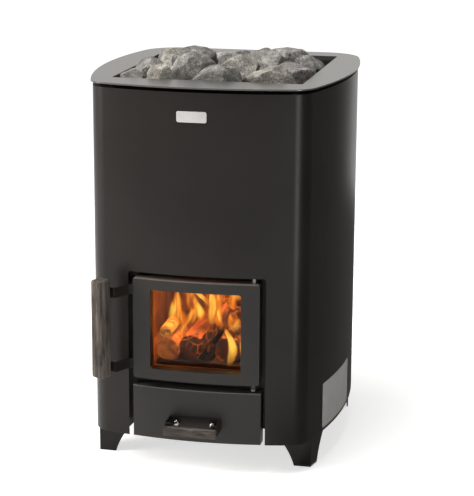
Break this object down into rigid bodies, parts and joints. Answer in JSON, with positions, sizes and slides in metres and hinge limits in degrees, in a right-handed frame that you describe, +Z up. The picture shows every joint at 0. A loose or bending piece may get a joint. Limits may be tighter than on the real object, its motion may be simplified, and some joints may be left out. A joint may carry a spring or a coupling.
{
  "type": "wood-burning sauna heater",
  "caption": "Wood-burning sauna heater: bowed steel jacket on sheet legs, hinged glazed fire door, sliding ash drawer and an open top heaped with stones.",
  "frame": {"origin": "on the floor, under the middle of the overall box", "axes": "+Z up, front towards -Y, +X to the right as seen from the front"},
  "size_m": [0.514, 0.6162, 0.805],
  "materials": {
    "jacket_paint": "satin black heat-resistant paint",
    "collar_paint": "satin grey heat-resistant paint",
    "door_paint": "satin charcoal heat-resistant paint",
    "heat_steel": "matt heat-darkened steel",
    "cast_iron": "rough as cast",
    "bare_steel": "bright plated",
    "smoked_wood": "grey-brown heat-treated wood, matt",
    "firewood": "split, charring",
    "stone": "rough broken grey stone",
    "rope_seal": "woven heat-resistant rope",
    "glass": "clear heat-resistant glass, slightly tinted"
  },
  "bodies": {
    "heater": {"jacket_front": "jacket_paint", "jacket_left": "jacket_paint", "jacket_right": "jacket_paint", "jacket_rear": "jacket_paint", "leg_front_left": "jacket_paint", "leg_front_right": "jacket_paint", "leg_rear_left": "jacket_paint", "leg_rear_right": "jacket_paint", "top_collar": "collar_paint", "tie_ring": "heat_steel", "base_plate": "heat_steel", "ash_box": "heat_steel", "firebox_shell": "heat_steel", "firebox_front": "heat_steel", "flue_spigot": "heat_steel", "stone_basket": "heat_steel", "hinge_lug_upper": "heat_steel", "hinge_lug_lower": "heat_steel", "latch_keeper": "heat_steel", "collar_spacer_front_left": "bare_steel", "collar_spacer_front_right": "bare_steel", "collar_spacer_rear_left": "bare_steel", "collar_spacer_rear_right": "bare_steel", "hinge_pin_upper": "bare_steel", "hinge_pin_lower": "bare_steel", "grate": "cast_iron", "baffle": "cast_iron", "log_left": "firewood", "log_right": "firewood", "log_top": "firewood", "stone_bed": "stone", "stone_1": "stone", "stone_2": "stone", "stone_3": "stone", "stone_4": "stone", "stone_5": "stone", "stone_6": "stone", "stone_7": "stone", "stone_8": "stone", "stone_9": "stone", "stone_10": "stone", "stone_11": "stone", "stone_12": "stone", "stone_13": "stone", "stone_14": "stone", "stone_15": "stone"},
    "door": {"door_frame": "door_paint", "door_glass": "glass", "glass_retainer": "heat_steel", "door_latch": "heat_steel", "door_gasket": "rope_seal", "handle_strap_upper": "jacket_paint", "handle_strap_lower": "jacket_paint", "door_grip": "smoked_wood"},
    "ash_drawer": {"drawer_front": "door_paint", "ash_pan": "heat_steel", "drawer_handle_bracket": "jacket_paint", "drawer_grip": "smoked_wood", "dome_nut_left": "bare_steel", "dome_nut_right": "bare_steel"}
  },
  "joints": [
    {"name": "door_hinge", "type": "hinge", "parent": "heater", "child": "door", "pos_m": [0.113, -0.24186, 0.286], "axis": [0, 0, 1], "range_deg": [0, 115]},
    {"name": "drawer_slide", "type": "slide", "parent": "heater", "child": "ash_drawer", "axis": [0, -1, 0], "range_m": [0, 0.3]}
  ]
}
